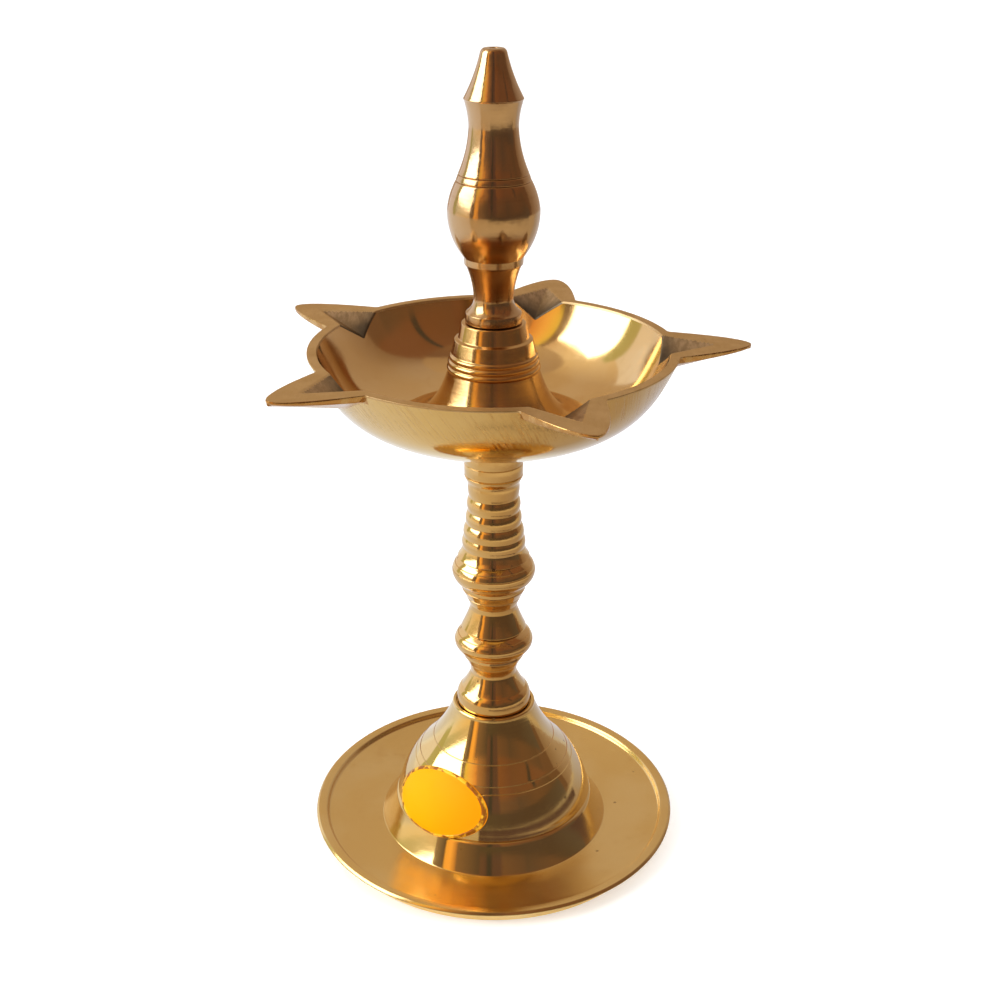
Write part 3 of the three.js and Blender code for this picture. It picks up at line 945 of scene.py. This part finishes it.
def foil_label():
    """Blank oval label, pressed to the bell, with a raised border."""
    outline = np.array(bell_outline())
    along = np.array(BELL_SHOULDER) - np.array(BELL_FOOT)
    middle = np.array(BELL_FOOT) + along / 2
    lean = math.atan2(-along[0], along[1])
    ca, sa = math.cos(LABEL_AZIMUTH), math.sin(LABEL_AZIMUTH)
    right = np.array([-sa, ca, 0])
    normal = np.array([math.cos(lean) * ca, math.cos(lean) * sa, math.sin(lean)])
    up = np.cross(normal, right)
    centre = np.array([middle[0] * ca, middle[0] * sa, middle[1]])
    slope = math.cos(lean)

    def on_bell(u, v, lift):
        start = centre + right * u + up * v
        t = 0.0
        for _ in range(12):
            p = start + normal * t
            gap = math.hypot(p[0], p[1]) - np.interp(p[2], outline[:, 1], outline[:, 0]) - lift / slope
            t -= gap / slope
        return start + normal * t

    # Rings from the middle outward, as a share of the label's size and of its thickness
    around, border, inner = 128, 10, 12
    relief = [(i / inner * BORDER_START, 1.0) for i in range(1, inner + 1)]
    for i in range(1, border + 1):
        t = i / border
        relief.append((BORDER_START + BORDER_WIDTH * t, 1.0 + BORDER_RISE * math.sin(math.pi * t) ** 2))
    relief += [(0.985, 0.9), (0.995, 0.6), (1.0, 0.15)]
    back = [(1.0, 0.0), (0.66, 0.0), (0.33, 0.0)]
    tilt = (math.cos(LABEL_TILT), -math.sin(LABEL_TILT))

    def place(share, angle, thick):
        a = LABEL_HALF_LENGTH * share * math.cos(angle)
        b = LABEL_HALF_WIDTH * share * math.sin(angle)
        u, v = a * tilt[0] - b * tilt[1], a * tilt[1] + b * tilt[0]
        return on_bell(u, v, LABEL_LIFT + LABEL_THICK * thick) * MM

    angles = np.linspace(0, 2 * math.pi, around, endpoint=False)
    verts = [place(0, 0, 1.0)]
    for share, thick in relief + back:
        verts += [place(share, a, thick) for a in angles]
    verts.append(place(0, 0, 0.0))
    rows = len(relief) + len(back)
    faces = [tuple(i + 1 for i in reversed(f)) for f in grid_faces(rows, around)]
    slots = []
    for i in range(rows - 1):
        slots += [1 if inner <= i + 1 < inner + border + 2 else 0] * around
    last = 1 + (rows - 1) * around
    for j in range(around):
        k = (j + 1) % around
        faces.append((0, 1 + j, 1 + k))
        faces.append((len(verts) - 1, last + k, last + j))
        slots += [0, 0]
    materials = [foil_gold(), foil_rim()]
    return finish_mesh("foil_label_pressed", verts, faces, "base", "foil_label", materials, slots)


# Stage

def wall_card(name, azimuths, elevations, colours, strength=1.0):
    """An upright curved card round the lamp, at elevations seen from the middle of the lamp."""
    heights = [EYE_HEIGHT + ROOM_RADIUS * math.tan(math.radians(e)) for e in elevations]
    stage_card(name, azimuths, [(ROOM_RADIUS, z) for z in heights], colours, strength)


def floor_card(name, azimuths, radii, colours):
    """A flat card just over the floor."""
    stage_card(name, azimuths, [(r, FLOOR_CARD_HEIGHT) for r in radii], colours)


def stage_card(name, azimuths, edges, colours, strength=1.0):
    """A glowing card, which only reflections see.

    Its two edges are (radius, height), and its colour runs from left to right through the colours. Azimuth 0
    is towards the camera and grows to the right.
    """
    across = 24
    steps = np.linspace(0, 1, len(colours))
    verts, tints = [], []
    for r, z in edges:
        for j in range(across + 1):
            t = j / across
            a = math.radians(lerp(*azimuths, t))
            verts.append((r * math.sin(a), -r * math.cos(a), z))
            tints.append((*(np.interp(t, steps, channel) for channel in zip(*colours)), 1.0))
    faces = [(j, j + 1, j + across + 2, j + across + 1) for j in range(across)]
    mesh = bpy.data.meshes.new(name)
    mesh.from_pydata(verts, [], faces)
    layer = mesh.color_attributes.new("tint", "FLOAT_COLOR", "POINT")
    layer.data.foreach_set("color", np.ravel(tints))
    card = bpy.data.objects.new(name, mesh)
    bpy.context.scene.collection.objects.link(card)
    material = bpy.data.materials.new(name)
    material.use_nodes = True
    nodes, links = material.node_tree.nodes, material.node_tree.links
    nodes.clear()
    tint = nodes.new("ShaderNodeVertexColor")
    tint.layer_name = "tint"
    glow = nodes.new("ShaderNodeEmission")
    glow.inputs["Strength"].default_value = strength
    out = nodes.new("ShaderNodeOutputMaterial")
    links.new(tint.outputs["Color"], glow.inputs["Color"])
    links.new(glow.outputs[0], out.inputs["Surface"])
    mesh.materials.append(material)
    card.visible_camera = False
    card.visible_diffuse = False
    card.visible_shadow = False


def area_lamp(name, place, aim, size, power, colour=(1, 1, 1)):
    """Soft light that reflections don't show."""
    data = bpy.data.lights.new(name, "AREA")
    data.shape = "RECTANGLE"
    data.size, data.size_y = size
    data.energy = power
    data.color = colour
    lamp = bpy.data.objects.new(name, data)
    lamp.location = place
    lamp.rotation_euler = (Vector(aim) - Vector(place)).to_track_quat("-Z", "Y").to_euler()
    lamp.visible_glossy = False
    bpy.context.scene.collection.objects.link(lamp)


def floor():
    """Pale floor. Its colour is lifted to white for the camera, so that only the shadow shows on it."""
    mesh = bpy.data.meshes.new("floor")
    half = 6.0
    corners = [(-half, -half, 0), (half, -half, 0), (half, half, 0), (-half, half, 0)]
    mesh.from_pydata(corners, [], [(0, 1, 2, 3)])
    ground = bpy.data.objects.new("floor", mesh)
    bpy.context.scene.collection.objects.link(ground)
    t = Tree("floor_white")
    path = t.node("ShaderNodeLightPath")
    seen = t.math("MAXIMUM", path.outputs["Is Camera Ray"], path.outputs["Is Glossy Ray"])
    seen = t.math("MAXIMUM", seen, path.outputs["Is Transmission Ray"])
    lift = t.math("MULTIPLY", seen, FLOOR_LIFT)
    t.set(
        Base_Color=(0.93, 0.93, 0.93, 1),
        Roughness=0.9,
        Emission_Color=(1, 1, 1, 1),
        Emission_Strength=lift,
    )
    mesh.materials.append(t.material)


def world():
    """White to camera, reflections and transmission; a plain light level to the rest."""
    made = bpy.data.worlds.new("studio")
    bpy.context.scene.world = made
    made.use_nodes = True
    nodes, links = made.node_tree.nodes, made.node_tree.links
    back = nodes["Background"]
    path = nodes.new("ShaderNodeLightPath")
    seen = nodes.new("ShaderNodeMath")
    seen.operation = "MAXIMUM"
    also = nodes.new("ShaderNodeMath")
    also.operation = "MAXIMUM"
    links.new(path.outputs["Is Camera Ray"], seen.inputs[0])
    links.new(path.outputs["Is Glossy Ray"], seen.inputs[1])
    links.new(seen.outputs[0], also.inputs[0])
    links.new(path.outputs["Is Transmission Ray"], also.inputs[1])
    level = nodes.new("ShaderNodeMapRange")
    level.inputs["To Min"].default_value = 0.85
    level.inputs["To Max"].default_value = 1.0
    links.new(also.outputs[0], level.inputs["Value"])
    back.inputs["Color"].default_value = (1, 1, 1, 1)
    links.new(level.outputs["Result"], back.inputs["Strength"])


def camera():
    data = bpy.data.cameras.new("camera")
    data.sensor_width = 36.0
    data.lens = 51.95
    data.shift_x = 0.0063
    data.shift_y = -0.0262
    data.clip_start, data.clip_end = 0.01, 50
    eye = bpy.data.objects.new("camera", data)
    eye.location = (0, -0.3763, 0.2763)
    eye.rotation_euler = (math.radians(66.94), 0, 0)
    bpy.context.scene.collection.objects.link(eye)
    bpy.context.scene.camera = eye


bpy.context.scene.view_settings.view_transform = "Standard"
camera()
world()
floor()

# Colours of the room that the polished metal reflects
TAN = (0.57, 0.43, 0.30)
PALE_TAN = (0.86, 0.71, 0.53)
HAZE = (0.92, 0.86, 0.88)
GARDEN = (0.56, 0.54, 0.28)
DAYLIGHT = (1.0, 0.98, 0.94)
POST = (0.30, 0.20, 0.13)
DARK_WOOD = (0.14, 0.08, 0.065)
SHADE = (0.07, 0.06, 0.05)
WOOD = (0.22, 0.105, 0.057)
RED_WOOD = (0.27, 0.12, 0.055)
PLASTER = (0.48, 0.37, 0.29)
CHEST = (0.105, 0.07, 0.05)
BRIGHT_TABLE = (1.0, 1.05, 1.15)
GREY_TABLE = (0.76, 0.72, 0.74)
WARM_TABLE = (0.62, 0.50, 0.35)
BROWN_TABLE = (0.42, 0.32, 0.25)

# Name, azimuths, elevations and colours of each wall card, from behind the lamp's left round to its right
LOW = (WALL_FOOT, WALL_SPLIT)
HIGH = (WALL_SPLIT, WALL_TOP)
WHOLE = (WALL_FOOT, WALL_TOP)
BACK = (BACK_FOOT, WALL_TOP)
CURTAIN_SPAN = (-150, -119)
GARDEN_SPAN = (-119, -107)
WINDOW_SPAN = (-107, -61)
WALLS = [
    ("back_left", (-180, -150), BACK, [TAN]),
    ("net_curtain", CURTAIN_SPAN, (WALL_FOOT, 32), [HAZE]),
    ("garden", GARDEN_SPAN, (WALL_FOOT, 40), [GARDEN]),
    ("window", WINDOW_SPAN, (13.5, 48), [DAYLIGHT], 4.5),
    ("window_box", WINDOW_SPAN, (3, 13.5), [(0.62, 0.62, 0.42), (0.80, 0.62, 0.40)]),
    ("window_sill", WINDOW_SPAN, (WALL_FOOT, 3), [(0.95, 0.85, 0.70), (1.0, 0.72, 0.35)]),
    ("over_curtain", CURTAIN_SPAN, (32, WALL_TOP), [(0.60, 0.46, 0.33), PALE_TAN]),
    ("over_garden", GARDEN_SPAN, (40, WALL_TOP), [PALE_TAN]),
    ("over_window", WINDOW_SPAN, (48, WALL_TOP), [(1.0, 0.86, 0.68), (0.80, 0.60, 0.42)]),
    ("window_post", (-61, -54), HIGH, [POST]),
    ("warm_curtain", (-54, -32), HIGH, [(1.0, 0.78, 0.16), (1.1, 0.62, 0.18), (0.85, 0.36, 0.10)]),
    ("lit_wood", (-32, -14), HIGH, [(0.55, 0.28, 0.12), (0.22, 0.12, 0.07)]),
    ("low_post", (-61, -50), LOW, [(0.40, 0.28, 0.18), (0.14, 0.10, 0.07)]),
    ("low_curtain", (-50, -38), LOW, [(1.1, 0.55, 0.12), (1.2, 0.60, 0.14), (0.55, 0.26, 0.09)]),
    ("low_wood", (-38, -14), LOW, [(0.30, 0.18, 0.10), (0.12, 0.085, 0.065)]),
    ("cupboard", (-14, -7), WHOLE, [(0.18, 0.10, 0.07), DARK_WOOD]),
    ("cupboard_gap", (-7, -2), WHOLE, [SHADE]),
    ("cupboard_door", (-2, 8), WHOLE, [DARK_WOOD]),
    ("low_door", (8, 32), LOW, [(0.20, 0.11, 0.065), (0.15, 0.09, 0.06)]),
    ("low_panelling", (32, 88), LOW, [(0.13, 0.085, 0.06), (0.18, 0.10, 0.06), (0.15, 0.09, 0.055)]),
    ("red_door", (8, 32), HIGH, [RED_WOOD, (0.20, 0.095, 0.055)]),
    ("panelling", (32, 61), HIGH, [(0.20, 0.10, 0.055), WOOD]),
    ("panel_gap", (61, 66), HIGH, [SHADE]),
    ("panelling_end", (66, 104), HIGH, [WOOD]),
    ("panelling_foot", (88, 104), LOW, [(0.18, 0.10, 0.06)]),
    ("plaster", (104, 150), WHOLE, [(0.28, 0.18, 0.12), (0.42, 0.31, 0.24), PLASTER]),
    ("back_right", (150, 180), BACK, [PLASTER, TAN]),
]
for wall in WALLS:
    wall_card(*wall)

CEILING_EDGES = [(ROOM_RADIUS, CEILING), (0.0, CEILING)]
stage_card("ceiling_left", (-180, -54), CEILING_EDGES, [(0.45, 0.34, 0.28), (0.60, 0.45, 0.30)])
stage_card("ceiling_right", (-54, 100), CEILING_EDGES, [(0.42, 0.24, 0.11), (0.20, 0.11, 0.07)])
stage_card("ceiling_back", (100, 180), CEILING_EDGES, [(0.40, 0.27, 0.17), TAN])

# Table round the lamp, what lies past it, and the low dark edge in front
floor_card("table_back_left", (-180, -104), TABLE, [BRIGHT_TABLE, (0.80, 0.82, 0.95), GREY_TABLE])
floor_card("table_left", (-104, -22), TABLE, [GREY_TABLE, (0.70, 0.60, 0.47), WARM_TABLE])
floor_card("table_front", (-22, 105), TABLE, [WARM_TABLE, (0.48, 0.36, 0.24), BROWN_TABLE])
floor_card("table_right", (105, 180), TABLE, [(0.42, 0.34, 0.29), (0.56, 0.55, 0.68), BRIGHT_TABLE])
PAST_TABLE = (TABLE[1], ROOM_RADIUS)
RUG_COLOURS = [(0.67, 0.52, 0.34), (0.71, 0.57, 0.38), (0.56, 0.45, 0.32)]
FAR_COLOURS = [(0.50, 0.45, 0.45), (0.95, 0.97, 1.05), (0.80, 0.70, 0.60)]
floor_card("rug", (-60, 120), PAST_TABLE, RUG_COLOURS)
floor_card("far_table", (120, 300), PAST_TABLE, FAR_COLOURS)
CHEST_COLOURS = [(0.12, 0.09, 0.06), CHEST, CHEST, (0.13, 0.10, 0.08)]
stage_card("chest", (-14, 96), [(0.75, 0.0), (0.75, 0.26)], CHEST_COLOURS)
stage_card("front_edge", (-14, 98), [(0.095, 0.0), (0.095, 0.013)], [(0.11, 0.065, 0.055)])

area_lamp("key", (-0.75, -0.55, 0.75), (0, 0, 0.1), (0.5, 0.5), 7.0)
area_lamp("fill", (0.8, -0.5, 0.6), (0, 0, 0.1), (0.6, 0.6), 3.0, (1.0, 0.95, 0.88))

stem_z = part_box("stem")[0].z / MM
bowl_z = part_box("oil_bowl")[0].z / MM
finial_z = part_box("finial")[0].z / MM

base_metal = brass("brass_base", 0.06, 0.8, 0.6, 0.3, SKIRT_FOOT[0])
stem_metal = brass("brass_stem", 0.07, 0.6, 1.0, tone=(0.94, 0.87, 0.84), wobble=0.7)
finial_metal = brass("brass_finial", 0.12, 0.9, 0.25, tone=(0.72, 0.66, 0.80), wobble=1.0)
stud_metal = thread_brass()

turned_piece("base_casting", base_outline(), 0, "base", base_metal, BASE_AROUND)
foil_label()
stem_hole = (M8["radius"] + THREAD_CLEARANCE, HOLE_DEPTH)
finial_hole = (M6["radius"] + THREAD_CLEARANCE, HOLE_DEPTH)
turned_piece("stem", bored(stem_outline(), stem_hole, stem_hole), stem_z, "stem", stem_metal)
oil_bowl(bowl_z)
finial = bored(finial_outline(), finial_hole, FINIAL_DIMPLE)
turned_piece("finial", finial, finial_z, "finial", finial_metal)
threaded_stud("stem_stud", M8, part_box("stem_stud")[0].z / MM, "stem_thread", stud_metal)
threaded_stud("bowl_stud", M8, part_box("bowl_stud")[0].z / MM, "bowl_thread", stud_metal)
threaded_stud("finial_stud", M6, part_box("finial_stud")[0].z / MM, "finial_thread", stud_metal)
